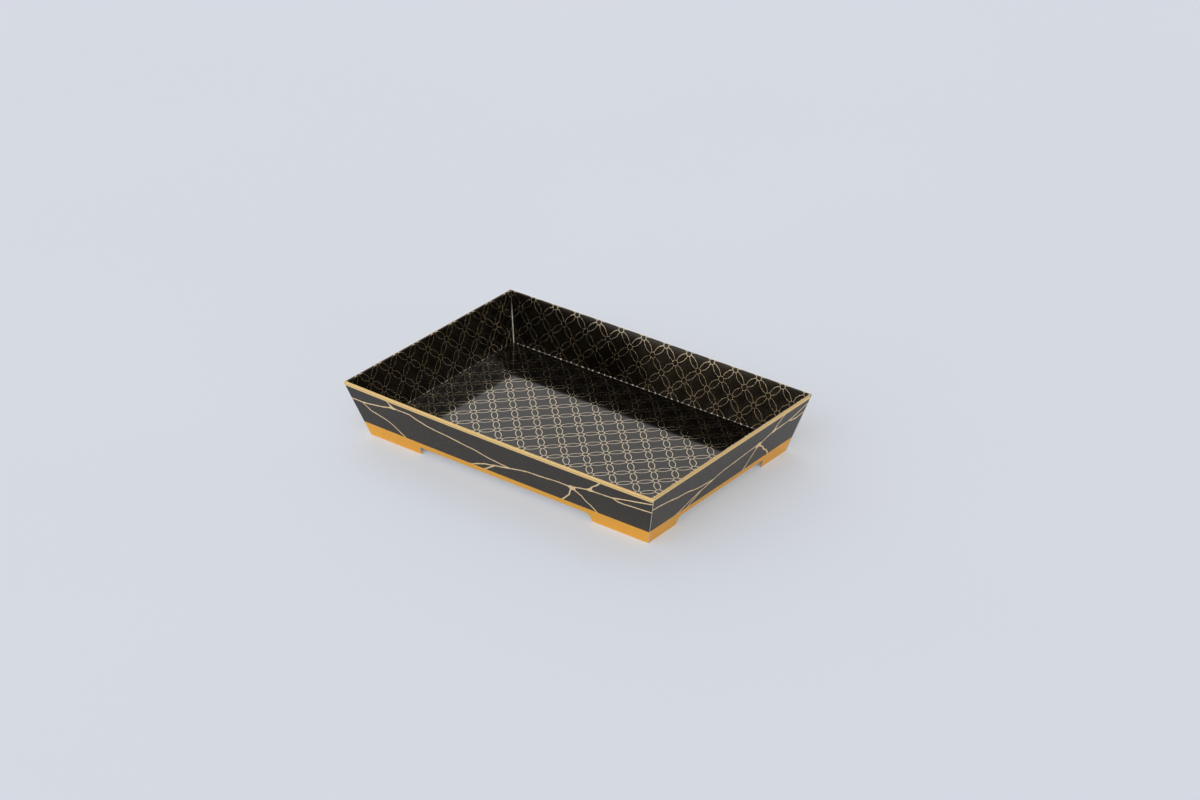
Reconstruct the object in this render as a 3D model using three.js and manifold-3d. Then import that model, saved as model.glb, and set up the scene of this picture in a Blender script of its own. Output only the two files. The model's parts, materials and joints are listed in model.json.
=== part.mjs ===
// Folded paperboard sushi tray: a raised floor, four double walls that lean outward, a narrow rolled rim
// and feet left below the outer walls by a notch in each. Lengths in millimetres, +Z up, table at z = 0.
import * as THREE from 'three';
import { mergeVertices } from 'three/addons/utils/BufferGeometryUtils.js';
import Module from 'manifold-3d';

const wasm = await Module();
wasm.setup();

// Driving dimensions of the tray
const RIM_LENGTH = 200; // outside of the rim along X
const RIM_BREADTH = 135; // outside of the rim along Y
const TRAY_HEIGHT = 32; // table to the top of the rim
const WALL_FLARE = 9.2; // how far each wall leans out between table and rim
const FLOOR_HEIGHT = 5.7; // table to the top of the tray floor

// The board and what lies between the two layers of a wall
const BOARD = 0.35; // thickness of the paperboard
const GLUE_LINE = 0.1; // room for glue between a corner tab and a short inner wall
const WALL_SLACK = 0.2; // free room between a corner tab and the outer wall
const CREASE_GAP = 0.1; // left open along every crease
const CORNER_GAP = 0.3; // between a short panel's end and the long panel that it meets

// Feet and the notch between them, measured on the outer wall
const LONG_FOOT = 35; // foot length on the front and back walls
const SHORT_FOOT = 22; // foot length on the left and right walls
const NOTCH_HEIGHT = 5.1;
const SWEPT_FILLET = 3.5; // wide round at the top of the notch, at one of its ends
const SWEPT_TOE = 1.2; // round of the foot's lower corner at that end
const PLAIN_FILLET = 0.7; // nearly square round at the notch's other end
const PLAIN_TOE = 0.5;
const ARC_STEPS = 6; // facets in each quarter round

// Hidden corner tabs and their glue
const TAB_LENGTH = 18; // along the short wall
const TAB_MARGIN = 1.5; // below the rim and above the floor crease
const TAB_TAPER = 3; // how much the tab's free end narrows at each corner
const GLUE_LENGTH = 11;
const GLUE_HEIGHT = 15;
const GLUE_CLEARANCE = 0.01; // between the glue and each board face

// Derived sizes
const LEAN = Math.atan2(WALL_FLARE, TRAY_HEIGHT);
const LEAN_SIN = Math.sin(LEAN);
const LEAN_COS = Math.cos(LEAN);
const level = (thickness) => thickness / LEAN_COS; // a leaning wall's thickness, measured level
const RIM = level(3 * BOARD + GLUE_LINE + WALL_SLACK); // rim width over inner wall, tab and outer wall
const OUTER_SLOPE = TRAY_HEIGHT / LEAN_COS; // rim to table, down the wall
const INNER_SLOPE = (TRAY_HEIGHT - FLOOR_HEIGHT) / LEAN_COS; // rim to floor crease, down the wall
const FLOOR_INSET = RIM + INNER_SLOPE * LEAN_SIN; // rim's outside to the floor crease, level
const TAB_DEPTH = BOARD + GLUE_LINE; // from a short inner wall's printed face to the tab's printed face
const UPRIGHT = Math.PI / 2;
const CUT_MARGIN = 1; // how far cutting shapes reach past the board

// Turn at each crease, away from the flat sheet
const OUTER_RIM_FOLD = UPRIGHT + LEAN;
const INNER_RIM_FOLD = UPRIGHT - LEAN;
const FLOOR_FOLD = UPRIGHT - LEAN;
const mitre = (fold) => BOARD * Math.tan(fold / 2);

// Finishes
const finish = (color, roughness, metalness) => new THREE.MeshStandardMaterial({ color, roughness, metalness });
const blackPrint = finish(0x15120f, 0.4, 0);
const goldPrint = finish(0xc79a4e, 0.45, 0.4);
const glueCream = finish(0xe9dcb8, 0.5, 0);

// Solids from geometries and back
function solidOf(geometry) {
  geometry.deleteAttribute('normal');
  geometry.deleteAttribute('uv');
  const merged = mergeVertices(geometry);
  const vertProperties = new Float32Array(merged.attributes.position.array);
  const triVerts = new Uint32Array(merged.index.array);
  return new wasm.Manifold(new wasm.Mesh({ numProp: 3, vertProperties, triVerts }));
}

function geometryOf(solid) {
  const { vertProperties, triVerts } = solid.getMesh();
  const geometry = new THREE.BufferGeometry();
  geometry.setAttribute('position', new THREE.BufferAttribute(vertProperties, 3));
  geometry.setIndex(new THREE.BufferAttribute(triVerts, 1));
  geometry.computeVertexNormals();
  return geometry;
}

// A panel is drawn as seen from its printed side: x along the side, y up the panel, printed face at z = 0 and
// raw face at z = -BOARD. At a crease the board's edge is mitred, so its raw face ends past the printed face
// by rawExtra, or short of it where rawExtra is negative.
const crease = (at, rawExtra) => ({ at, rawExtra });

function mitredStrip(low, high, halfLength, axes) {
  const section = new THREE.Shape([
    new THREE.Vector2(low.at, 0),
    new THREE.Vector2(high.at, 0),
    new THREE.Vector2(high.at + high.rawExtra, -BOARD),
    new THREE.Vector2(low.at - low.rawExtra, -BOARD),
  ]);
  const strip = new THREE.ExtrudeGeometry(section, { depth: 2 * halfLength, bevelEnabled: false });
  strip.translate(0, 0, -halfLength);
  return solidOf(strip.applyMatrix4(axes));
}

const ALONG_X = new THREE.Matrix4().makeBasis(
  new THREE.Vector3(0, 1, 0),
  new THREE.Vector3(0, 0, 1),
  new THREE.Vector3(1, 0, 0),
);
const ALONG_Y = new THREE.Matrix4().makeBasis(
  new THREE.Vector3(1, 0, 0),
  new THREE.Vector3(0, 0, 1),
  new THREE.Vector3(0, -1, 0),
);

function boardPanel(outline, low, high) {
  const halfLength = Math.max(...outline.getPoints().map((point) => Math.abs(point.x))) + CUT_MARGIN;
  const blank = new THREE.ExtrudeGeometry(outline, {
    depth: BOARD + 2 * CUT_MARGIN,
    bevelEnabled: false,
    curveSegments: ARC_STEPS,
  });
  blank.translate(0, 0, -BOARD - CUT_MARGIN);
  return geometryOf(mitredStrip(low, high, halfLength, ALONG_X).intersect(solidOf(blank)));
}

// A trapezoid whose ends follow the lean of the neighbouring walls; halfTop is its half length at y = 0
function leaningOutline(halfTop, yLow, yHigh) {
  const half = (y) => halfTop + y * LEAN_SIN;
  return new THREE.Shape([
    new THREE.Vector2(-half(yLow), yLow),
    new THREE.Vector2(half(yLow), yLow),
    new THREE.Vector2(half(yHigh), yHigh),
    new THREE.Vector2(-half(yHigh), yHigh),
  ]);
}

// Tray floor, with all four edges mitred to the inner walls
function basePanel() {
  const edge = (reach) => crease(reach - FLOOR_INSET - CREASE_GAP / 2, mitre(FLOOR_FOLD));
  const opposite = ({ at, rawExtra }) => crease(-at, rawExtra);
  const longEdge = edge(RIM_BREADTH / 2);
  const shortEdge = edge(RIM_LENGTH / 2);
  const betweenLongEdges = mitredStrip(opposite(longEdge), longEdge, RIM_LENGTH / 2, ALONG_X);
  const betweenShortEdges = mitredStrip(opposite(shortEdge), shortEdge, RIM_BREADTH / 2, ALONG_Y);
  return geometryOf(betweenLongEdges.intersect(betweenShortEdges));
}

// Inner wall, hanging from the rim's inner crease at y = 0 down to the floor crease
function innerWall(halfTop) {
  const outline = leaningOutline(halfTop, -INNER_SLOPE - CUT_MARGIN, CUT_MARGIN);
  const floorCrease = crease(CREASE_GAP / 2 - INNER_SLOPE, mitre(FLOOR_FOLD));
  const rimCrease = crease(-CREASE_GAP / 2, -mitre(INNER_RIM_FOLD));
  return boardPanel(outline, floorCrease, rimCrease);
}

// Rim strip, from the outer crease at y = 0 in to the inner crease
function rimStrip(half) {
  const outline = new THREE.Shape([
    new THREE.Vector2(-half, -CUT_MARGIN),
    new THREE.Vector2(half, -CUT_MARGIN),
    new THREE.Vector2(half, RIM + CUT_MARGIN),
    new THREE.Vector2(-half, RIM + CUT_MARGIN),
  ]);
  const outerCrease = crease(CREASE_GAP / 2, -mitre(OUTER_RIM_FOLD));
  const innerCrease = crease(RIM - CREASE_GAP / 2, -mitre(INNER_RIM_FOLD));
  return boardPanel(outline, outerCrease, innerCrease);
}

// One end of a notch: its fillet shrinks where the notch is too low for it
const notchEnd = (fillet, toe) => ({ fillet: Math.min(fillet, NOTCH_HEIGHT - toe), toe });
const SWEPT_END = notchEnd(SWEPT_FILLET, SWEPT_TOE);
const PLAIN_END = notchEnd(PLAIN_FILLET, PLAIN_TOE);

// Outer wall, hanging from the rim's outer crease at y = 0 down to its feet. Where halfAtCrease is less than
// halfTop, the upper corners are relieved so that the wall can unfold past the long panels.
function outerWall(halfTop, halfAtCrease, foot, leftEnd, rightEnd) {
  const yFoot = -OUTER_SLOPE;
  const yNotch = yFoot + NOTCH_HEIGHT;
  const halfFoot = halfTop + yFoot * LEAN_SIN;
  const reliefDrop = (halfTop - halfAtCrease) / (2 * LEAN_SIN);
  const halfAtRelief = halfTop - reliefDrop * LEAN_SIN;
  const halfAbove = halfAtCrease - CUT_MARGIN * LEAN_SIN;
  const xLeft = foot - halfFoot;
  const xRight = halfFoot - foot;
  const outline = new THREE.Shape();
  outline.moveTo(-halfFoot, yFoot);
  outline.lineTo(xLeft - leftEnd.toe, yFoot);
  outline.absarc(xLeft - leftEnd.toe, yFoot + leftEnd.toe, leftEnd.toe, -UPRIGHT, 0, false);
  outline.absarc(xLeft + leftEnd.fillet, yNotch - leftEnd.fillet, leftEnd.fillet, Math.PI, UPRIGHT, true);
  outline.absarc(xRight - rightEnd.fillet, yNotch - rightEnd.fillet, rightEnd.fillet, UPRIGHT, 0, true);
  outline.absarc(xRight + rightEnd.toe, yFoot + rightEnd.toe, rightEnd.toe, Math.PI, 3 * UPRIGHT, false);
  outline.lineTo(halfFoot, yFoot);
  outline.lineTo(halfAtRelief, -reliefDrop);
  outline.lineTo(halfAbove, CUT_MARGIN);
  outline.lineTo(-halfAbove, CUT_MARGIN);
  outline.lineTo(-halfAtRelief, -reliefDrop);
  const pastFeet = crease(yFoot - CUT_MARGIN, 0);
  const rimCrease = crease(-CREASE_GAP / 2, -mitre(OUTER_RIM_FOLD));
  return boardPanel(outline, pastFeet, rimCrease);
}

// Corner tab at the +x end of a short wall, drawn like the inner wall that it is glued behind
function cornerTab(halfTop) {
  const yTop = -TAB_MARGIN;
  const yLow = TAB_MARGIN - INNER_SLOPE;
  const half = (y) => halfTop + y * LEAN_SIN;
  const xFree = half(yLow) - TAB_LENGTH;
  const outline = new THREE.Shape([
    new THREE.Vector2(xFree, yLow + TAB_TAPER),
    new THREE.Vector2(xFree + TAB_TAPER, yLow),
    new THREE.Vector2(half(yLow), yLow),
    new THREE.Vector2(half(yTop), yTop),
    new THREE.Vector2(xFree + TAB_TAPER, yTop),
    new THREE.Vector2(xFree, yTop - TAB_TAPER),
  ]);
  const tab = new THREE.ExtrudeGeometry(outline, { depth: BOARD, bevelEnabled: false });
  return tab.translate(0, 0, -BOARD);
}

// Glue pressed flat between a tab and the back of the inner wall, in the middle of the tab
function gluePatch(halfTop) {
  const yMiddle = -INNER_SLOPE / 2;
  const xMiddle = halfTop + yMiddle * LEAN_SIN - TAB_LENGTH / 2;
  const outline = new THREE.Shape();
  outline.absellipse(xMiddle, yMiddle, GLUE_LENGTH / 2, GLUE_HEIGHT / 2, 0, 2 * Math.PI, false);
  const patch = new THREE.ExtrudeGeometry(outline, {
    depth: GLUE_LINE - 2 * GLUE_CLEARANCE,
    bevelEnabled: false,
    curveSegments: 2 * ARC_STEPS,
  });
  return patch.translate(0, 0, GLUE_CLEARANCE);
}

// Mirrors a panel left to right and keeps its faces pointing out
function mirrored(geometry) {
  const indexed = mergeVertices(geometry.deleteAttribute('normal').deleteAttribute('uv'));
  indexed.scale(-1, 1, 1);
  indexed.index.array.reverse();
  indexed.computeVertexNormals();
  return indexed;
}

const tray = new THREE.Group();

function place(group, name, geometry, material, outward, rotation) {
  const mesh = new THREE.Mesh(geometry, material);
  mesh.name = name;
  mesh.position.set(0, -outward, TRAY_HEIGHT);
  mesh.rotation.copy(rotation);
  group.add(mesh);
}

const FACING_OUT = new THREE.Euler(UPRIGHT + LEAN, 0, 0);
const FACING_UP = new THREE.Euler(0, 0, 0);
const FACING_IN = new THREE.Euler(UPRIGHT - LEAN, 0, Math.PI, 'ZXY');

// One side of the tray, built as the front and turned about Z. Reach is from the middle out to this side's rim,
// and each half is a panel's half length along the side, at the rim's level.
function traySide({ name, turn, reach, outerHalf, outerCreaseHalf, rimHalf, innerHalf, foot, ends }) {
  const side = new THREE.Group();
  side.rotation.z = turn;
  const outer = outerWall(outerHalf, outerCreaseHalf, foot, ...ends);
  place(side, `outer_wall_${name}`, outer, blackPrint, reach, FACING_OUT);
  place(side, `rim_strip_${name}`, rimStrip(rimHalf), goldPrint, reach, FACING_UP);
  place(side, `inner_wall_${name}`, innerWall(innerHalf), blackPrint, reach - RIM, FACING_IN);
  tray.add(side);
  return side;
}

// Front and back run through to the corners; their inner walls reach the corner tabs behind the short walls
function longSide(name, turn) {
  const cross = RIM_LENGTH / 2;
  traySide({
    name,
    turn,
    reach: RIM_BREADTH / 2,
    outerHalf: cross,
    outerCreaseHalf: cross,
    rimHalf: cross,
    innerHalf: cross - RIM + level(TAB_DEPTH) - CREASE_GAP,
    foot: LONG_FOOT,
    ends: [PLAIN_END, SWEPT_END],
  });
}

// Left and right fit between the long panels, with two tabs and their glue behind the inner wall
function shortSide(name, turn, tabNames) {
  const cross = RIM_BREADTH / 2;
  const reach = RIM_LENGTH / 2;
  const side = traySide({
    name,
    turn,
    reach,
    outerHalf: cross - level(BOARD) - CORNER_GAP,
    outerCreaseHalf: cross - RIM - CORNER_GAP,
    rimHalf: cross - RIM - CORNER_GAP,
    innerHalf: cross - RIM - CORNER_GAP,
    foot: SHORT_FOOT,
    ends: [SWEPT_END, PLAIN_END],
  });
  const tabHalf = cross - RIM + level(BOARD);
  const tabReach = reach - RIM + level(TAB_DEPTH);
  const handed = [(geometry) => geometry, mirrored];
  tabNames.forEach((corner, index) => {
    const tab = handed[index](cornerTab(tabHalf));
    const glue = handed[index](gluePatch(tabHalf));
    place(side, `corner_tab_${corner}`, tab, blackPrint, tabReach, FACING_IN);
    place(side, `glue_patch_${corner}`, glue, glueCream, tabReach, FACING_IN);
  });
}

const floor = new THREE.Mesh(basePanel(), blackPrint);
floor.name = 'base_panel';
floor.position.z = FLOOR_HEIGHT;
tray.add(floor);

longSide('front', 0);
longSide('back', Math.PI);
shortSide('right', UPRIGHT, ['front_right', 'back_right']);
shortSide('left', -UPRIGHT, ['back_left', 'front_left']);

export default tray;
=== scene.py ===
# Looks of a folded paperboard sushi tray: printed boards with folds, cut edges and film. Metres, +Z up.
import json
import math
from dataclasses import dataclass

import bpy
from mathutils import Matrix, Vector


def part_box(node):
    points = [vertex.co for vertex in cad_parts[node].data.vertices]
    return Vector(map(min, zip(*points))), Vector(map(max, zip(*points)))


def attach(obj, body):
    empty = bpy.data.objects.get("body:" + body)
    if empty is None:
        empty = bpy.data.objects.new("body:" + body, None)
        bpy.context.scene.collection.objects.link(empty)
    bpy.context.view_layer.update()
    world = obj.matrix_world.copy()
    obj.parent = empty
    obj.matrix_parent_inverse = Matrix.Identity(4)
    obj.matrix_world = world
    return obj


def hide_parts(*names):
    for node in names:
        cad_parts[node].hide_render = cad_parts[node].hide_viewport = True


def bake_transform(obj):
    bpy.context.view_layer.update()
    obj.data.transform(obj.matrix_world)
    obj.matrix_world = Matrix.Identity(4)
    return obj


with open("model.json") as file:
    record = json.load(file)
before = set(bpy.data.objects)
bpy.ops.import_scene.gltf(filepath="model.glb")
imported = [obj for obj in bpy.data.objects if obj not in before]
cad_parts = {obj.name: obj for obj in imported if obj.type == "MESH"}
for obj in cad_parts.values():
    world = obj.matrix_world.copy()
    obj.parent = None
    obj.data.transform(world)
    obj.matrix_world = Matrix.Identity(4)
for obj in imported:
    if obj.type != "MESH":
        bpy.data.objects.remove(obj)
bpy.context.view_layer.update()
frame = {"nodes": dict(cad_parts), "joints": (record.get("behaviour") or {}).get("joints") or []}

# Sizes taken from the frame
MM = 0.001
CREASE = {joint["name"]: Vector(joint["pos_m"]) for joint in frame["joints"]}
RIM_TOP = CREASE["front_outer_crease"].z
LONG_REACH = -CREASE["front_outer_crease"].y
SHORT_REACH = CREASE["right_outer_crease"].x
RIM_WIDTH = LONG_REACH + CREASE["front_inner_crease"].y
FLOOR_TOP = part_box("base_panel")[1].z
BOARD = FLOOR_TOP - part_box("base_panel")[0].z

# Walls, feet and folds
WALL_FLARE = 9.2 * MM
LONG_FOOT = 35 * MM
SHORT_FOOT = 22 * MM
NOTCH = 5.1 * MM
SWEPT_END = (3.5 * MM, 1.2 * MM)  # a notch end's round above, and the round of the foot's toe
PLAIN_END = (0.7 * MM, 0.5 * MM)
RIM_FOLD_RADIUS = 0.4 * MM
FLOOR_FOLD_RADIUS = 0.2 * MM
SCORED = 0.15 * MM  # the board pressed thin along the rim
CORNER_GAP = 0.12 * MM
LONG_BOW = 1.0 * MM  # how far the front rim bulges out at mid-length
BACK_BOW = 0.35 * MM
FOOT_BOW = 0.3  # share of the bulge that reaches the table
FRONT_EAR = 1.2 * MM  # how far the front rim overhangs the right wall at the near corner
EAR_START = 0.8  # share of the half length where the overhang begins
FOLD_STEPS = 8
ARC_STEPS = 10
WALL_ROWS = 8
RIM_ROWS = 2
COLUMNS = 40
FOOT_COLUMNS = 8
SHARP_EDGE = math.radians(35)

QUARTER = math.pi / 2
LEAN = math.atan2(WALL_FLARE, RIM_TOP)
SLOPE = RIM_TOP / math.cos(LEAN)
FLOOR_INSET = RIM_WIDTH + (RIM_TOP - FLOOR_TOP) * math.tan(LEAN)
INNER_SLOPE = (RIM_TOP - FLOOR_TOP) / math.cos(LEAN)
LEVEL_BOARD = BOARD / math.cos(LEAN)

# Print: circles inside, bands and gold veins outside, in millimetres
PITCH = 7.5  # half the spacing of the circles
CIRCLE = 6.93
RING = 1.59
PRINT_LINE = 0.3
PRINT_EDGE = 0.012
LONG_CIRCLES = (0.08, 0.53)  # where a circle's middle lies on the long and short walls and on the floor
SHORT_CIRCLES = (12.47, 6.48)
FLOOR_CIRCLES = (2.7, 22.18)
RIM_BAND = 2.24
FOOT_BAND = 24.9
VEIN = 0.74
RIM_DARK_LINE = 0.8  # a darker line in the gold, just below the rim
SHORT_SHIFT = 52.5  # where the veins' drawing starts on a short wall
WEB, FORK = 3.4, 0.3  # how far apart a branch begins to web together with the others
LONG_VEINS = [
    (FORK, [(2, 10.3), (7.6, 10), (10.3, 10.2), (20, 8.6), (25, 7.7), (32.7, 5.7), (44.3, 5.6),
            (50, 7.7), (55, 9.2), (60, 10), (70, 11.1), (80, 12.7), (85, 13.2), (95, 15.5),
            (100, 16.2), (108, 16.8), (115, 15.3), (120, 14.4), (130, 13.8), (140, 12.9),
            (148, 13.1), (151, 12.1), (155, 11), (159, 10.2), (170, 9.7), (174, 9.4), (180, 8),
            (190, 5.8), (204, 2.3)]),
    (FORK, [(174, 9.4), (177, 10.6), (181, 10.9), (190, 10.3), (204, 9.2)]),
    (WEB, [(28.8, 1.6), (32.7, 5.7)]),
    (FORK, [(10.3, 10.2), (15, 14.1), (20, 15.5), (25, 16.7), (28, 18.3), (32, 21.5), (36.5, 25.2)]),
    (FORK, [(108, 16.8), (100, 18.8), (95, 20), (90, 21), (85, 22.9), (79, 25.6)]),
    (FORK, [(97, 19.6), (94, 21.6), (90, 24.3), (88, 25.6)]),
    (WEB, [(159.8, 10), (162.2, 7), (165.3, 4.9), (168.6, 1.6)]),
    (WEB, [(148, 13.1), (145, 19.3), (142, 22.4), (138, 26)]),
    (WEB, [(148, 13.1), (150.5, 15), (153.5, 16.9), (155.2, 19.4), (158.5, 21.7), (160.3, 23.8),
           (161.8, 26)]),
]
SHORT_VEINS = [
    (FORK, [(50, 8.3), (62, 9.3), (72, 10.9), (77, 12), (87, 13.1), (92, 14.5), (97, 15.6),
            (102, 15.9), (109, 16.3), (112, 15.4), (117, 14.6), (127, 13.7), (137, 12.8),
            (142, 12.4), (145.5, 12.6), (149, 11.8), (152, 10.8), (156, 9.7), (167, 9.3),
            (170.5, 9), (174, 8.1), (179, 6.7), (188, 4.4)]),
    (FORK, [(170.5, 9), (172.5, 10), (177, 10.6), (188, 9.6)]),
    (FORK, [(109, 16.3), (102.5, 18.1), (97.5, 19.3), (92.5, 20.7), (87.5, 22.7), (79, 25.6)]),
    (FORK, [(99, 19.3), (95, 21.7), (91.5, 23.9), (88.5, 25.8)]),
    (WEB, [(157.2, 9.5), (159, 6.4), (161.5, 4.3), (164.5, 1.6)]),
    (WEB, [(145.5, 12.6), (142, 17.8), (139.5, 21.3), (136, 25.6)]),
    (WEB, [(145.5, 12.6), (148, 14.6), (150.3, 16.3), (152.2, 18.9), (155.2, 20.9), (157.8, 24.3),
           (158.6, 25.8)]),
]
LONG_CREASE_LIGHT, SHORT_CREASE_LIGHT = 1.0, 0.2  # how strongly the painted glints and painted highlight line show along the crease at the floor


@dataclass
class Side:
    """One wall of the tray, drawn as the front and turned about the tray's middle."""

    name: str
    turn: float
    reach: float
    outer_half: float
    relief_half: float
    rim_half: float
    inner_half: float
    tuck: float
    foot: float
    ends: tuple
    bow: float
    ear: float
    drawing_start: float
    circle_at: tuple
    gold_from: float
    slip: float
    crease_light: float


def long_side(name, turn, bow, ear, gold_from, slip):
    return Side(
        name=name, turn=turn, reach=LONG_REACH, outer_half=SHORT_REACH, relief_half=SHORT_REACH,
        rim_half=SHORT_REACH, inner_half=SHORT_REACH - RIM_WIDTH + LEVEL_BOARD, tuck=LEVEL_BOARD,
        foot=LONG_FOOT, ends=(PLAIN_END, SWEPT_END), bow=bow, ear=ear, drawing_start=0,
        circle_at=LONG_CIRCLES, gold_from=gold_from, slip=slip, crease_light=LONG_CREASE_LIGHT,
    )


def short_side(name, turn, gold_from, slip):
    inside = LONG_REACH - RIM_WIDTH - CORNER_GAP
    return Side(
        name=name, turn=turn, reach=SHORT_REACH, outer_half=LONG_REACH - LEVEL_BOARD - CORNER_GAP,
        relief_half=inside, rim_half=inside, inner_half=inside, tuck=0,
        foot=SHORT_FOOT, ends=(SWEPT_END, PLAIN_END), bow=0, ear=0, drawing_start=SHORT_SHIFT,
        circle_at=SHORT_CIRCLES, gold_from=gold_from, slip=slip, crease_light=SHORT_CREASE_LIGHT,
    )


# The print sits towards the back and the left of the die cut, so the gold starts elsewhere on each rim
PRINT_SLIP = 1.2 * MM
RIGHT_SLIP = 0.2 * MM
FRONT_GOLD = -0.3 * MM
BACK_GOLD = RIM_WIDTH - 0.25 * MM
RIGHT_GOLD = 0.65 * MM
LEFT_GOLD = RIM_WIDTH
SIDES = [
    long_side("front", 0, LONG_BOW, FRONT_EAR, FRONT_GOLD, 0),
    long_side("back", math.pi, BACK_BOW, 0, BACK_GOLD, PRINT_SLIP),
    short_side("right", QUARTER, RIGHT_GOLD, RIGHT_SLIP),
    short_side("left", -QUARTER, LEFT_GOLD, PRINT_SLIP),
]


class Field:
    """A value over a surface: a node's output, to which Python's operators add Math nodes."""

    def __init__(self, tree, socket):
        self.tree = tree
        self.socket = socket

    def node(self, kind, settings, sockets, output=0):
        return add_node(self.tree, kind, settings, sockets, output)

    def math(self, operation, *others):
        return self.node("Math", {"operation": operation}, dict(enumerate((self, *others))))

    def __add__(self, other):
        return self.math("ADD", other)

    def __radd__(self, other):
        return self.math("ADD", other)

    def __sub__(self, other):
        return self.math("SUBTRACT", other)

    def __rsub__(self, other):
        return (self * -1).math("ADD", other)

    def __mul__(self, other):
        return self.math("MULTIPLY", other)

    def __rmul__(self, other):
        return self.math("MULTIPLY", other)

    def __abs__(self):
        return self.math("ABSOLUTE")

    def __gt__(self, other):
        return self.math("GREATER_THAN", other)

    def __lt__(self, other):
        return self.math("LESS_THAN", other)


def add_node(tree, kind, settings, sockets, output=0):
    """Adds a node, its settings first and then its sockets' values or links; gives one output as a Field."""
    node = tree.nodes.new("ShaderNode" + kind)
    for key, value in settings.items():
        setattr(node, key, value)
    for key, value in sockets.items():
        if isinstance(value, Field):
            tree.links.new(value.socket, node.inputs[key])
        else:
            node.inputs[key].default_value = value
    return Field(tree, node.outputs[output])


# Small pieces of shader maths
NOISE_LOW, NOISE_HIGH = 0.3, 0.7  # most noise lies between these two
NOISE_MIDDLE = 0.5


def smaller(a, b):
    return a.math("MINIMUM", b)


def larger(a, b):
    return a.math("MAXIMUM", b)


def distance(a, b):
    return (a * a + b * b).math("SQRT")


def stroke(away, width, soft):
    """1 on a drawn line of that width, 0 beside it, from the distance to its middle."""
    ends = {"From Min": width / 2 - soft, "From Max": width / 2 + soft, "To Min": 1.0, "To Max": 0.0}
    return away.node("MapRange", {"interpolation_type": "SMOOTHSTEP"}, {"Value": away, **ends})


def ramp(value, low, high, low_gives, high_gives):
    ends = {"From Min": low, "From Max": high, "To Min": low_gives, "To Max": high_gives}
    return value.node("MapRange", {}, {"Value": value, **ends})


def spread(clouds, low_gives, high_gives):
    """Noise brought between two values."""
    return ramp(clouds, NOISE_LOW, NOISE_HIGH, low_gives, high_gives)


def mixed(mask, below, above):
    return mask.node("Mix", {"data_type": "RGBA"}, {0: mask, 6: below, 7: above}, 2)


def vector(field, operation, *others, output=0):
    return field.node("VectorMath", {"operation": operation}, dict(enumerate((field, *others))), output)


def noise(place, scale, detail=3.0, roughness=0.5, output=0):
    sockets = {"Vector": place, "Scale": scale, "Detail": detail, "Roughness": roughness}
    return place.node("TexNoise", {}, sockets, output)


def colour(red, green, blue):
    """A colour written as it shows on screen, 0 to 255, as the shader's linear value."""
    def linear(level):
        share = level / 255
        return share / 12.92 if share <= 0.04045 else ((share + 0.055) / 1.055) ** 2.4
    return (linear(red), linear(green), linear(blue), 1.0)


FOIL_INK = colour(38, 33, 25)
FOIL_INK_THIN = colour(45, 38, 28)
OUTER_INK = colour(26, 20, 11)
OUTER_INK_THIN = colour(32, 26, 17)
LINE_GOLD = colour(254, 237, 205)
VEIN_GOLD = colour(255, 224, 175)
FOOT_GOLD = colour(253, 185, 71)
RIM_GOLD = colour(255, 218, 150)
# the rim top's gold, paler than the band's as a painted highlight
RIM_TOP_LIT_GOLD = colour(255, 227, 170)
DARK_LINE_GOLD = colour(196, 146, 78)
# white of the chipped board inside, and of the painted glints and painted light at the floor crease and
# inner corners
CHIP_AND_GLINT_WHITE = colour(250, 249, 245)
BOARD_PALE = colour(232, 226, 214)
BOARD_FIBRE = colour(206, 196, 178)
BOARD_SPECK = colour(150, 132, 104)
GLUE_DEEP = colour(226, 204, 150)
GLUE_PALE = colour(240, 226, 188)
TABLE_LIT = colour(215, 231, 255)
TABLE_LIT_COOL = colour(212, 230, 255)
TABLE_OWN = colour(249, 243, 236)


class Finish:
    """A material with one Principled shader, and the places that its print is drawn from."""

    def __init__(self, name, **constants):
        self.material = bpy.data.materials.new(name)
        self.material.use_nodes = True
        self.tree = self.material.node_tree
        self.shader = self.tree.nodes["Principled BSDF"]
        for key, value in constants.items():
            self.shader.inputs[key.replace("_", " ")].default_value = value

    def attribute(self, name):
        """A place stored on the board in metres, here in millimetres, with its three numbers apart."""
        stored = add_node(self.tree, "Attribute", {"attribute_name": name}, {}, 1)
        place = vector(stored, "MULTIPLY", (1 / MM,) * 3)
        apart = [place.node("SeparateXYZ", {}, {0: place}, axis) for axis in range(3)]
        return place, *apart

    def own_place(self):
        """A place on a plain solid, in millimetres."""
        return vector(add_node(self.tree, "TexCoord", {}, {}, 3), "MULTIPLY", (1 / MM,) * 3)

    def link(self, **fields):
        for key, field in fields.items():
            self.tree.links.new(field.socket, self.shader.inputs[key.replace("_", " ")])

    def bump(self, height, depth, strength=1.0):
        sockets = {"Strength": strength, "Distance": depth, "Height": height}
        self.link(Normal=height.node("Bump", {}, sockets))


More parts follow.
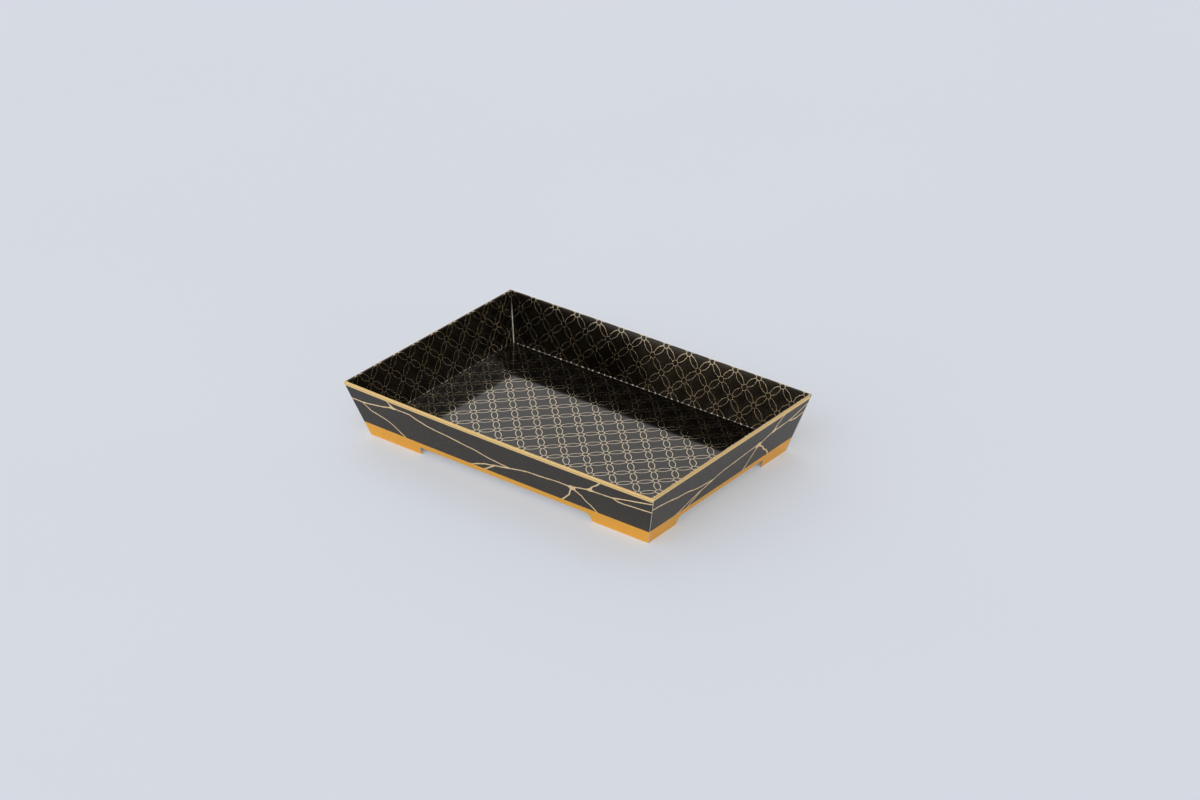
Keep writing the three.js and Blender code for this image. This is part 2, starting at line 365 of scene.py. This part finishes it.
# Film and ink
BOARD_IOR = 1.45
GLUE_IOR = 1.48
WARM_GLOSS = (1.0, 0.93, 0.84, 1.0)
INK_FOIL = 0.85  # how much of the foil's mirror comes through the ink
FOIL_EDGE = (0.0, 0.0, 0.0, 1.0)  # the inked foil stays dark at a low angle
CLEAR_FILM = {
    "Coat_IOR": 1.5,
    "Coat_Roughness": 0.075,
    "Specular_IOR_Level": 0.0,
    "Specular_Tint": FOIL_EDGE,
}
INNER_ROUGHNESS = (0.12, 0.15)
OUTER_ROUGHNESS = (0.24, 0.3)
RIM_ROUGHNESS = (0.18, 0.24)
VEIN_GRAIN = (0.0, 0.06)  # roughness that the gold's grain adds outside, and on the rim
RIM_GRAIN = (0.15, 0.24)
INNER_BARE_AND_LIT, OUTER_BARE = 0.5, 0.4  # roughness that bare board adds; inside, also at the painted glints and painted corner light
BAND_METAL, FOOT_DULL, VEIN_METAL = 0.92, 0.2, 0.85
INK_CLOUDS = 0.05
GRAIN = 6.0
GRAIN_HEIGHT = 0.05
WAVES = 0.25
WAVE_DEPTH = 0.02 * MM
VEIN_WANDER = 0.8
VEIN_SWELLING = 0.08

# Wear and painted light, in millimetres
CHIP_RAGGED = 1.4
CHIP_EDGE = 0.08
# inside, the pale chipped strip at the corners is widened into a painted line of light
INNER_CHIP_AND_LIGHT, OUTER_CHIP, RIM_CHIP = 0.28, 0.06, 0.1
CHIP_STRENGTH = 0.8
CORNER_LIGHT_FROM, CORNER_LIGHT_FULL = 4.0, 14.0  # how far down the inner corners the pale strip strengthens: chipped board, with painted light lower down
# Painted highlights at the floor crease: white glints where the gold circles cross it, and a thin pale line
# along it
GLINT_BAND, GLINT_SIZE = 0.8, 1.0
GLINT_STRENGTH = 0.6
HIGHLIGHT_LINE = 0.2
HIGHLIGHT_LINE_STRENGTH = 0.35
CREASE_EDGE = 0.06
DARK_LINE_WIDTH = 0.3
DARK_LINE_STRENGTH = 0.6
RIM_WORN = 0.25


def chipped(place, from_end, width):
    """Where the print has chipped off along a cut end, showing the pale board."""
    ragged = noise(place, 1.1, 4.0)
    return stroke(from_end + (ragged - NOISE_MIDDLE) * width * CHIP_RAGGED, width * 2, CHIP_EDGE)


def circles(across, up):
    """Gold lines of interlocking circles, with a small open ring where four petals meet.

    Gives the lines' mask and the distance to the nearest circle.
    """
    fold_across = across.math("PINGPONG", PITCH)
    fold_up = up.math("PINGPONG", PITCH)
    own_circle = abs(distance(fold_across, fold_up) - CIRCLE)
    next_circle = abs(distance(PITCH - fold_across, PITCH - fold_up) - CIRCLE)
    tip = smaller(distance(PITCH - fold_across, fold_up), distance(fold_across, PITCH - fold_up))
    to_circle = smaller(own_circle, next_circle)
    petals = stroke(to_circle, PRINT_LINE, PRINT_EDGE) * (tip > RING)
    return larger(petals, stroke(abs(tip - RING), PRINT_LINE, PRINT_EDGE)), to_circle


def black_ink(print_at, deep, thin):
    """Black ink that lies a little thinner and browner in clouds; gives the colour and the clouds."""
    clouds = noise(print_at, INK_CLOUDS, 5.0, 0.6)
    return mixed(ramp(clouds, 0.35, 0.65, 0.0, 1.0), deep, thin), clouds


def inner_film():
    """Black film with thin gold interlocking circles, inside the tray, with painted highlights at the floor
    crease.
    """
    finish = Finish("inner_film", **CLEAR_FILM)
    print_at, across, up, crease_light = finish.attribute("print")
    place, _, down, from_end = finish.attribute("place")
    gold, to_circle = circles(across, up)
    ink, clouds = black_ink(print_at, FOIL_INK, FOIL_INK_THIN)
    to_crease = abs(down - INNER_SLOPE / MM)
    uneven = ramp(noise(place, 0.15), 0.35, 0.6, 0.4, 1.0)
    # painted highlights: white glints where the gold circles cross the floor crease, and a pale patchy line
    # along it
    glint_places = stroke(to_crease, GLINT_BAND, CREASE_EDGE) * stroke(to_circle, GLINT_SIZE, 0.15)
    glints = glint_places * uneven * GLINT_STRENGTH
    patchy = ramp(noise(place, 0.6), 0.4, 0.6, 0.0, HIGHLIGHT_LINE_STRENGTH)
    crease_highlight = stroke(to_crease, HIGHLIGHT_LINE, CREASE_EDGE) * patchy
    # pale chipped board at the inner corners, widened and strengthened lower down as painted light
    chips_and_corner_light = chipped(place, from_end, INNER_CHIP_AND_LIGHT) * ramp(down, CORNER_LIGHT_FROM, CORNER_LIGHT_FULL, 0.2, 1.0)
    # bare here holds the pale chipped board and also the painted glints and painted corner light
    bare = larger(chips_and_corner_light * CHIP_STRENGTH, larger(glints, crease_highlight) * crease_light)
    finish.link(
        Base_Color=mixed(bare, mixed(gold, ink, LINE_GOLD), CHIP_AND_GLINT_WHITE),
        Roughness=spread(clouds, *INNER_ROUGHNESS) + bare * INNER_BARE_AND_LIT,
        Metallic=(INK_FOIL + gold * (1 - INK_FOIL)) * (1 - bare),
        Coat_Weight=1 - bare,
    )
    finish.bump(noise(place, WAVES, 2.0), WAVE_DEPTH)
    return finish.material


def to_segment(point, start, end):
    """Distance from a point of the print to one straight stretch of a vein."""
    run = Vector((end[0] - start[0], end[1] - start[1], 0))
    offset = vector(point, "SUBTRACT", (start[0], start[1], 0))
    share = vector(offset, "DOT_PRODUCT", tuple(run / run.length_squared), output=1)
    share = share.node("Clamp", {}, {0: share})
    foot = share.node("VectorMath", {"operation": "SCALE"}, {0: tuple(run), "Scale": share})
    return vector(offset, "DISTANCE", foot, output=1)


def to_veins(point, veins):
    """Distance to the nearest vein, with the branches webbed together where they meet."""
    nearest = None
    for web, branch in veins:
        to_branch = None
        for start, end in zip(branch, branch[1:]):
            away = to_segment(point, start, end)
            to_branch = away if to_branch is None else smaller(to_branch, away)
        nearest = to_branch if nearest is None else nearest.math("SMOOTH_MIN", to_branch, web)
    return nearest


def outer_film(name, drawing):
    """Black film with gold veins between a gold rim band and the gold feet, outside the tray."""
    finish = Finish(name, IOR=BOARD_IOR, Specular_Tint=WARM_GLOSS)
    print_at, _, down, _ = finish.attribute("print")
    place, _, past_rim, from_end = finish.attribute("place")
    wander = vector(noise(print_at, 0.09, 2.0, output=1), "SUBTRACT", (NOISE_MIDDLE,) * 3)
    drawn = vector(print_at, "ADD", vector(wander, "MULTIPLY", (VEIN_WANDER, VEIN_WANDER, 0)))
    swelling = spread(noise(print_at, 0.2, 3.0), -VEIN_SWELLING, VEIN_SWELLING)
    veins = stroke(to_veins(drawn, drawing) - swelling, VEIN, PRINT_EDGE)
    foot_band = down > FOOT_BAND
    band = larger(down < RIM_BAND, foot_band)
    gold = larger(veins, band)
    grain = noise(print_at, GRAIN, 2.0)
    ink, clouds = black_ink(print_at, OUTER_INK, OUTER_INK_THIN)
    # a darker gold line just below the rim
    dark_line = stroke(abs(past_rim - RIM_DARK_LINE), DARK_LINE_WIDTH, 0.1) * DARK_LINE_STRENGTH
    band_gold = mixed(foot_band, mixed(dark_line, RIM_GOLD, DARK_LINE_GOLD), FOOT_GOLD)
    bare = chipped(place, from_end, OUTER_CHIP)
    grained = spread(clouds, *OUTER_ROUGHNESS) + gold * spread(grain, *VEIN_GRAIN)
    finish.link(
        Base_Color=mixed(bare, mixed(gold, ink, mixed(band, VEIN_GOLD, band_gold)), BOARD_PALE),
        Roughness=grained + bare * OUTER_BARE,
        Metallic=larger(band * BAND_METAL - foot_band * FOOT_DULL, veins * VEIN_METAL) * (1 - bare),
    )
    finish.bump(noise(place, WAVES, 2.0) + grain * band * GRAIN_HEIGHT, WAVE_DEPTH)
    return finish.material


def rim_film():
    """The rim's print: the circles run on over the inner crease until the gold band begins."""
    finish = Finish("rim_film", **CLEAR_FILM)
    print_at, across, up, _ = finish.attribute("print")
    place, _, past_gold, from_end = finish.attribute("place")
    grain = noise(print_at, GRAIN, 2.0)
    ink, clouds = black_ink(print_at, FOIL_INK, FOIL_INK_THIN)
    band = past_gold > 0
    gold = larger(band, circles(across, up)[0])
    worn = ramp(noise(place, 0.4, 4.0), 0.4, 0.7, 0.0, RIM_WORN)
    # the rim's top is painted paler as a highlight, clouded with the deeper foot gold
    band_gold = mixed(worn, RIM_TOP_LIT_GOLD, FOOT_GOLD)
    bare = chipped(place, from_end, RIM_CHIP)
    grained = spread(clouds, *RIM_ROUGHNESS) + band * spread(grain, *RIM_GRAIN)
    finish.link(
        Base_Color=mixed(bare, mixed(gold, ink, mixed(band, LINE_GOLD, band_gold)), BOARD_PALE),
        Roughness=grained + bare * OUTER_BARE,
        Metallic=1 - bare,
        Coat_Weight=1 - larger(bare, band),
    )
    finish.bump(noise(place, WAVES, 2.0) + grain * GRAIN_HEIGHT, WAVE_DEPTH)
    return finish.material


FIBRE_STRETCH = (0.6, 2.4, 1.2)
FIBRE_ROUGHNESS = (0.82, 0.95)
SPECK_FROM = 0.71
SPECK_STRENGTH = 0.25
TOOTH = 0.05 * MM
GLUE_ROUGHNESS = (0.3, 0.5)


def raw_board(name, pale, fibre):
    """Uncoated board: matted fibres, darker specks and a soft tooth."""
    finish = Finish(name, IOR=BOARD_IOR)
    place = finish.own_place()
    fibres = noise(vector(place, "MULTIPLY", FIBRE_STRETCH), 1.4, 6.0, 0.65)
    clouds = noise(place, 0.08, 3.0)
    speck = noise(place, 2.6, 2.0) > SPECK_FROM
    tone = mixed(ramp(fibres, 0.35, 0.68, 0.0, 1.0), pale, fibre)
    clouded = mixed(spread(clouds, 0.0, 0.25), tone, fibre)
    finish.link(
        Base_Color=mixed(speck * SPECK_STRENGTH, clouded, BOARD_SPECK),
        Roughness=spread(fibres, *FIBRE_ROUGHNESS),
    )
    finish.bump(fibres, TOOTH, 0.7)
    return finish.material


def pressed_glue():
    """Cream hot-melt glue, squeezed flat with a few trapped bubbles."""
    finish = Finish("pressed_glue", IOR=GLUE_IOR)
    place = finish.own_place()
    flow = noise(place, 0.5, 4.0)
    bubbles = place.node("TexVoronoi", {}, {"Vector": place, "Scale": 0.9})
    finish.link(
        Base_Color=mixed(spread(flow, 0.0, 1.0), GLUE_DEEP, GLUE_PALE),
        Roughness=spread(flow, *GLUE_ROUGHNESS),
    )
    finish.bump(bubbles, TOOTH, 0.5)
    return finish.material


# Sections of a side, as stations along its printed face
@dataclass
class Station:
    """A place on a side's section, outward and up, with the printed face's normal and the board there."""

    out: float
    up: float
    normal: tuple
    board: float


def straight(start, end, heading, rows, board):
    """Stations between two points of a flat stretch, with both ends."""
    normal = (-math.sin(heading), math.cos(heading))
    stations = []
    for share in (row / rows for row in range(rows + 1)):
        out = start[0] + (end[0] - start[0]) * share
        up = start[1] + (end[1] - start[1]) * share
        stations.append(Station(out, up, normal, board))
    return stations


def fold(corner, heading, turn, radius, board_before, board_after):
    """Stations round a fold of the printed face, from one tangent point to the other."""
    tangent = radius * math.tan(abs(turn) / 2)
    side = math.copysign(1, turn)
    start = (corner[0] - tangent * math.cos(heading), corner[1] - tangent * math.sin(heading))
    centre = (start[0] - side * radius * math.sin(heading), start[1] + side * radius * math.cos(heading))
    stations = []
    for step in range(FOLD_STEPS + 1):
        share = step / FOLD_STEPS
        angle = heading + turn * share
        normal = (-math.sin(angle), math.cos(angle))
        out = centre[0] - side * radius * normal[0]
        up = centre[1] - side * radius * normal[1]
        stations.append(Station(out, up, normal, board_before + (board_after - board_before) * share))
    return stations


def spot(station):
    return (station.out, station.up)


def down_slope(distance_down):
    """A place on the outer wall's printed face, at a distance down from the rim."""
    return (-distance_down * math.sin(LEAN), RIM_TOP - distance_down * math.cos(LEAN))


UPHILL = QUARTER - LEAN
DOWNHILL = -QUARTER - LEAN
FLOOR_CORNER = (-FLOOR_INSET, FLOOR_TOP)
INNER_CORNER = (-RIM_WIDTH, RIM_TOP)
OUTER_CORNER = (0, RIM_TOP)
FLOOR_FOLD = fold(FLOOR_CORNER, 0, UPHILL, FLOOR_FOLD_RADIUS, BOARD, BOARD)
INNER_FOLD = fold(INNER_CORNER, UPHILL, -UPHILL, RIM_FOLD_RADIUS, BOARD, SCORED)
OUTER_FOLD = fold(OUTER_CORNER, 0, DOWNHILL, RIM_FOLD_RADIUS, SCORED, BOARD)
INNER_FLAT = straight(spot(FLOOR_FOLD[-1]), spot(INNER_FOLD[0]), UPHILL, WALL_ROWS, BOARD)
RIM_FLAT = straight(spot(INNER_FOLD[-1]), spot(OUTER_FOLD[0]), 0, RIM_ROWS, SCORED)
OUTER_FLAT = straight(spot(OUTER_FOLD[-1]), down_slope(SLOPE - NOTCH), DOWNHILL, WALL_ROWS, BOARD)
INNER_SECTION = FLOOR_FOLD[:-1] + INNER_FLAT
RIM_SECTION = INNER_FOLD[:-1] + RIM_FLAT
BAND_SECTION = OUTER_FOLD[:-1] + OUTER_FLAT


class Board:
    """A closed sheet of board, gathered as points and quads of its printed face."""

    def __init__(self, name):
        self.name = name
        self.points = []
        self.quads = []

    def point(self, place, normal, board, drawn_at, sheet_place):
        self.points.append((place, normal, board, drawn_at, sheet_place))
        return len(self.points) - 1

    def rows(self, rows):
        for upper, lower in zip(rows, rows[1:]):
            for column in range(len(upper) - 1):
                self.quads.append((upper[column], lower[column], lower[column + 1], upper[column + 1]))

    def build(self, film, raw):
        count = len(self.points)
        printed = [place for place, *_ in self.points]
        back = [place - normal * board for place, normal, board, *_ in self.points]
        edges = {(quad[k], quad[(k + 1) % 4]) for quad in self.quads for k in range(4)}
        cut = [(b, a, a + count, b + count) for a, b in sorted(edges) if (b, a) not in edges]
        under = [tuple(corner + count for corner in reversed(quad)) for quad in self.quads]
        mesh = bpy.data.meshes.new(self.name)
        mesh.from_pydata(printed + back, [], self.quads + under + cut)
        mesh.materials.append(film)
        mesh.materials.append(raw)
        for face in mesh.polygons:
            face.material_index = 0 if face.index < len(self.quads) else 1
        for label, index in (("print", 3), ("place", 4)):
            stored = mesh.attributes.new(label, "FLOAT_VECTOR", "POINT")
            values = [number for point in self.points for number in point[index]]
            stored.data.foreach_set("vector", values + values)
        mesh.shade_smooth()
        mesh.set_sharp_from_angle(angle=SHARP_EDGE)
        piece = bpy.data.objects.new(self.name, mesh)
        bpy.context.scene.collection.objects.link(piece)
        return piece


def bulge(side, x, share):
    return side.bow * share * (1 - (x / side.outer_half) ** 2)


def on_side(side, station, x, bow_share):
    """A point of a side's printed face and its normal, turned to where the side stands."""
    turned = Matrix.Rotation(side.turn, 3, "Z")
    out = side.reach + station.out + bulge(side, x, bow_share)
    place = turned @ Vector((x, -out, station.up))
    normal = turned @ Vector((0, -station.normal[0], station.normal[1]))
    return place, normal


def eared(side, x, half, share):
    """A place along a side, drawn out by a share of the overhang at the corner that it overhangs."""
    near_end = max(0, (x / half - EAR_START) / (1 - EAR_START))
    return x + side.ear * near_end * share


def half_at(half, up):
    """Half length of a panel at a height, where its ends lean with the neighbouring walls."""
    return half - (RIM_TOP - up) * math.tan(LEAN)


def even(start, end, count):
    return [start + (end - start) * step / count for step in range(count + 1)]


def below_rim(station):
    return (RIM_TOP - station.up) / math.cos(LEAN)


def inner_share(station):
    return max(0, (station.up - FLOOR_TOP) / (RIM_TOP - FLOOR_TOP))


def outer_share(station):
    return FOOT_BOW + (1 - FOOT_BOW) * station.up / RIM_TOP


def inner_board(side, film, raw):
    board = Board(f"{side.name}_inner_board")
    rows = []
    for station in INNER_SECTION:
        half = half_at(side.inner_half, station.up)
        down = below_rim(station)
        row = []
        for x in even(-half, half, COLUMNS):
            drawn = (x - side.circle_at[0] * MM, down - side.circle_at[1] * MM, side.crease_light * MM)
            placed = (x, down, half - side.tuck - abs(x))
            at = on_side(side, station, x, inner_share(station))
            row.append(board.point(*at, station.board, drawn, placed))
        rows.append(row)
    board.rows(rows)
    return board.build(film, raw)


def rim_board(side, film, raw):
    board = Board(f"{side.name}_rim_board")
    rows = []
    for station in RIM_SECTION:
        across = station.out + RIM_WIDTH
        overhang = min(max(0, across) / (RIM_WIDTH + OUTER_FOLD[0].out), 1)
        row = []
        for x in even(-side.rim_half, side.rim_half, COLUMNS):
            drawn = (x - side.circle_at[0] * MM, -across - side.circle_at[1] * MM, 0)
            placed = (x, across - side.gold_from, side.rim_half - abs(x))
            at = on_side(side, station, eared(side, x, side.rim_half, overhang), inner_share(station))
            row.append(board.point(*at, station.board, drawn, placed))
        rows.append(row)
    board.rows(rows)
    return board.build(film, raw)


def foot_end(tip, fillet, toe):
    """The inner edge of a left foot, from the notch down: places along the wall and up from the table."""
    quarter_round = even(0, QUARTER, ARC_STEPS)
    flare = [(tip + fillet - fillet * math.sin(a), NOTCH - fillet + fillet * math.cos(a))
             for a in quarter_round]
    toe_round = [(tip - toe + toe * math.cos(a), toe - toe * math.sin(a)) for a in quarter_round]
    return flare + toe_round


def outer_board(side, film, raw):
    board = Board(f"{side.name}_outer_board")
    drop = max(side.outer_half - side.relief_half, 0) / (2 * math.sin(LEAN))

    def half_of(station):
        """Half length, with the upper corners relieved where the wall swings past its neighbours."""
        leaning = half_at(side.outer_half, station.up)
        if below_rim(station) >= drop:
            return leaning
        at_relief = side.outer_half - drop * math.sin(LEAN)
        return side.relief_half + (at_relief - side.relief_half) * below_rim(station) / drop

    def point(station, x, half):
        along = eared(side, x, half, station.up / RIM_TOP)
        down = below_rim(station)
        drawn = (along + side.outer_half + side.drawing_start * MM, down - side.slip, 0)
        placed = (x, down, half - abs(x))
        at = on_side(side, station, along, outer_share(station))
        return board.point(*at, station.board, drawn, placed)

    notch_half = half_at(side.outer_half, BAND_SECTION[-1].up)
    foot_tip = half_at(side.outer_half, 0) - side.foot
    left_edge = foot_end(-foot_tip, *side.ends[0])
    right_edge = [(-x, up) for x, up in foot_end(-foot_tip, *side.ends[1])]
    columns = (even(-notch_half, left_edge[0][0], FOOT_COLUMNS)[:-1]
               + even(left_edge[0][0], right_edge[0][0], COLUMNS)[:-1]
               + even(right_edge[0][0], notch_half, FOOT_COLUMNS))
    rows = []
    for station in BAND_SECTION:
        half = half_of(station)
        rows.append([point(station, x * half / notch_half, half) for x in columns])
    board.rows(rows)
    for edge, outside, top in ((left_edge, -1, rows[-1][:FOOT_COLUMNS + 1]),
                               (right_edge, 1, rows[-1][-FOOT_COLUMNS - 1:])):
        foot_rows = [top]
        for inner_x, up_slope in edge[1:]:
            station = Station(*down_slope(SLOPE - up_slope), BAND_SECTION[-1].normal, BOARD)
            half = half_of(station)
            span = even(outside * half, inner_x, FOOT_COLUMNS)
            left_to_right = span if outside < 0 else reversed(span)
            foot_rows.append([point(station, x, half) for x in left_to_right])
        board.rows(foot_rows)
    return board.build(film, raw)


FAR_FROM_ENDS = 1.0
STRAIGHT_UP = Vector((0, 0, 1))


def floor_board(film, raw):
    board = Board("floor_board")
    tuck = FLOOR_INSET + FLOOR_FOLD_RADIUS * math.tan(UPHILL / 2)
    circle_x, circle_y = (middle * MM for middle in FLOOR_CIRCLES)
    rows = []
    for y in even(LONG_REACH - tuck, tuck - LONG_REACH, COLUMNS):
        row = []
        for x in even(tuck - SHORT_REACH, SHORT_REACH - tuck, COLUMNS):
            drawn = (x - circle_x, y - circle_y, 0)
            placed = (x, 0, FAR_FROM_ENDS)
            row.append(board.point(Vector((x, y, FLOOR_TOP)), STRAIGHT_UP, BOARD, drawn, placed))
        rows.append(row)
    board.rows(rows)
    return board.build(film, raw)


# The tray
INNER_FILM = inner_film()
LONG_FILM = outer_film("long_outer_film", LONG_VEINS)
SHORT_FILM = outer_film("short_outer_film", SHORT_VEINS)
RIM_FILM = rim_film()
RAW = raw_board("raw_board", BOARD_PALE, BOARD_FIBRE)
GLUE = pressed_glue()

floor_piece = floor_board(INNER_FILM, RAW)
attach(floor_piece, "inner_tray")
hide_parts("base_panel")

# Heights between which the board would bend as a rim or an outer wall unrolls; nothing here uses them
UNROLL_SLACK = 0.005 * MM
OUTER_UNROLL = OUTER_FOLD[-1].up + BOARD * math.sin(LEAN) + UNROLL_SLACK

for tray_side in SIDES:
    inner_piece = inner_board(tray_side, INNER_FILM, RAW)
    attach(inner_piece, "inner_tray")
    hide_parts(f"inner_wall_{tray_side.name}")

    rim_piece = rim_board(tray_side, RIM_FILM, RAW)
    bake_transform(rim_piece)
    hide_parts(f"rim_strip_{tray_side.name}")

    outer_film_here = LONG_FILM if tray_side.reach == LONG_REACH else SHORT_FILM
    outer_piece = outer_board(tray_side, outer_film_here, RAW)
    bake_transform(outer_piece)
    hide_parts(f"outer_wall_{tray_side.name}")

for node_name, node in frame["nodes"].items():
    if node_name.startswith(("corner_tab", "glue_patch")):
        node.data.materials.clear()
        node.data.materials.append(GLUE if node_name.startswith("glue_patch") else RAW)

# Table, light and camera
scene = bpy.context.scene
scene.view_settings.view_transform = "Standard"

TABLE_HALF = 6.0
TABLE_ROUGHNESS = (0.7, 0.75)
SEEN_GLOW = 0.35  # share of the table's own colour that the camera sees, and that gloss shows
GLOSS_GLOW = 0.36
SHADE_REACH = 40 * MM
SHUT_IN, OPEN_ENOUGH = 0.005, 0.05  # shares of open sky between which the table's glow fades
LEAST_GLOW = 0.15


def table_finish():
    """A pale lit table that partly shows its own colour, less so where the tray shuts the light out."""
    finish = Finish("pale_table")
    tree = finish.tree
    place = add_node(tree, "TexCoord", {}, {}, 3)
    soft = noise(place, 3.0, 2.0)
    lit = mixed(spread(soft, 0.0, 1.0), TABLE_LIT, TABLE_LIT_COOL)
    finish.link(Base_Color=lit, Roughness=spread(soft, *TABLE_ROUGHNESS))
    seen, glossy, through = (add_node(tree, "LightPath", {}, {}, ray)
                             for ray in ("Is Camera Ray", "Is Glossy Ray", "Is Transmission Ray"))
    glow = add_node(tree, "Emission", {}, {"Color": TABLE_OWN, "Strength": 1.0})
    shaded = Field(tree, finish.shader.outputs[0])
    daylight = add_node(tree, "AmbientOcclusion", {"samples": 16}, {"Distance": SHADE_REACH}, 1)
    open_to_light = ramp(daylight, SHUT_IN, OPEN_ENOUGH, LEAST_GLOW, 1.0)
    share = (seen * SEEN_GLOW + (glossy + through) * GLOSS_GLOW) * open_to_light
    surface = add_node(tree, "MixShader", {}, {0: share, 1: shaded, 2: glow})
    tree.links.new(surface.socket, tree.nodes["Material Output"].inputs["Surface"])
    return finish.material


TABLE_CORNERS = [
    (-TABLE_HALF, -TABLE_HALF, 0),
    (TABLE_HALF, -TABLE_HALF, 0),
    (TABLE_HALF, TABLE_HALF, 0),
    (-TABLE_HALF, TABLE_HALF, 0),
]
table_mesh = bpy.data.meshes.new("table")
table_mesh.from_pydata(TABLE_CORNERS, [], [(0, 1, 2, 3)])
table_mesh.materials.append(table_finish())
table = bpy.data.objects.new("table", table_mesh)
scene.collection.objects.link(table)

ROOM_COLOUR = (1.0, 0.975, 0.955, 1.0)
ROOM = 1.0
ROOM_RIGHT = -0.95  # the room is brighter on the left
ROOM_BACK = -0.65  # and towards the front
ROOM_TOP = -0.3  # and lower down
LEAST_LIGHT = 0.02
ROOM_PATCHES = [  # where the room is brighter or darker: the direction, how narrow, and by how much
    ((0.21, 0.69, 0.69), 25.0, 0.6),
    ((0.7, 0.7, 0.1), 6.0, 0.65),
    ((0.15, -0.75, 0.65), 8.0, 1.6),
    ((0.85, -0.35, 0.4), 6.0, 0.5),
    ((0.99, -0.05, 0.1), 40.0, 3.0),
    ((-0.05, -0.99, 0.1), 40.0, 1.6),
    ((-0.55, -0.33, 0.77), 6.0, -1.4),
    ((0.42, -0.87, 0.26), 7.0, -1.6),
    ((-0.5, -0.86, 0.05), 12.0, -0.8),
]
world = bpy.data.worlds.new("studio")
world.use_nodes = True
sky = world.node_tree.nodes["Background"]
sky.inputs["Color"].default_value = ROOM_COLOUR
direction = add_node(world.node_tree, "TexCoord", {}, {}, 0)
rightward, backward, upward = (direction.node("SeparateXYZ", {}, {0: direction}, axis)
                               for axis in range(3))
brightness = ROOM + rightward * ROOM_RIGHT + backward * ROOM_BACK + upward * ROOM_TOP
for towards, sharpness, change in ROOM_PATCHES:
    facing = larger(vector(direction, "DOT_PRODUCT", towards, output=1), 0.0)
    brightness = brightness + facing.math("POWER", sharpness) * change
world.node_tree.links.new(larger(brightness, LEAST_LIGHT).socket, sky.inputs["Strength"])
scene.world = world

CAMERA_AZIMUTH = math.radians(38.526)
CAMERA_ELEVATION = math.radians(28.349)
CAMERA_ROLL = math.radians(-0.602)
CAMERA_DISTANCE = 1.62799
CAMERA_ASIDE = 11.684 * MM
CAMERA_ABOVE = 21.852 * MM
CAMERA_LENS = 94.364
CAMERA_SENSOR = 36

back = Vector((math.sin(CAMERA_AZIMUTH) * math.cos(CAMERA_ELEVATION),
               -math.cos(CAMERA_AZIMUTH) * math.cos(CAMERA_ELEVATION), math.sin(CAMERA_ELEVATION)))
right = Vector((math.cos(CAMERA_AZIMUTH), math.sin(CAMERA_AZIMUTH), 0))
up = back.cross(right)
rolled_right = right * math.cos(CAMERA_ROLL) + up * math.sin(CAMERA_ROLL)
rolled_up = up * math.cos(CAMERA_ROLL) - right * math.sin(CAMERA_ROLL)
camera_data = bpy.data.cameras.new("camera")
camera_data.sensor_width = CAMERA_SENSOR
camera_data.lens = CAMERA_LENS
camera = bpy.data.objects.new("camera", camera_data)
axes = Matrix((rolled_right, rolled_up, back)).transposed().to_4x4()
spot_at = back * CAMERA_DISTANCE + rolled_right * CAMERA_ASIDE + rolled_up * CAMERA_ABOVE
camera.matrix_world = Matrix.Translation(spot_at) @ axes
scene.collection.objects.link(camera)
scene.camera = camera
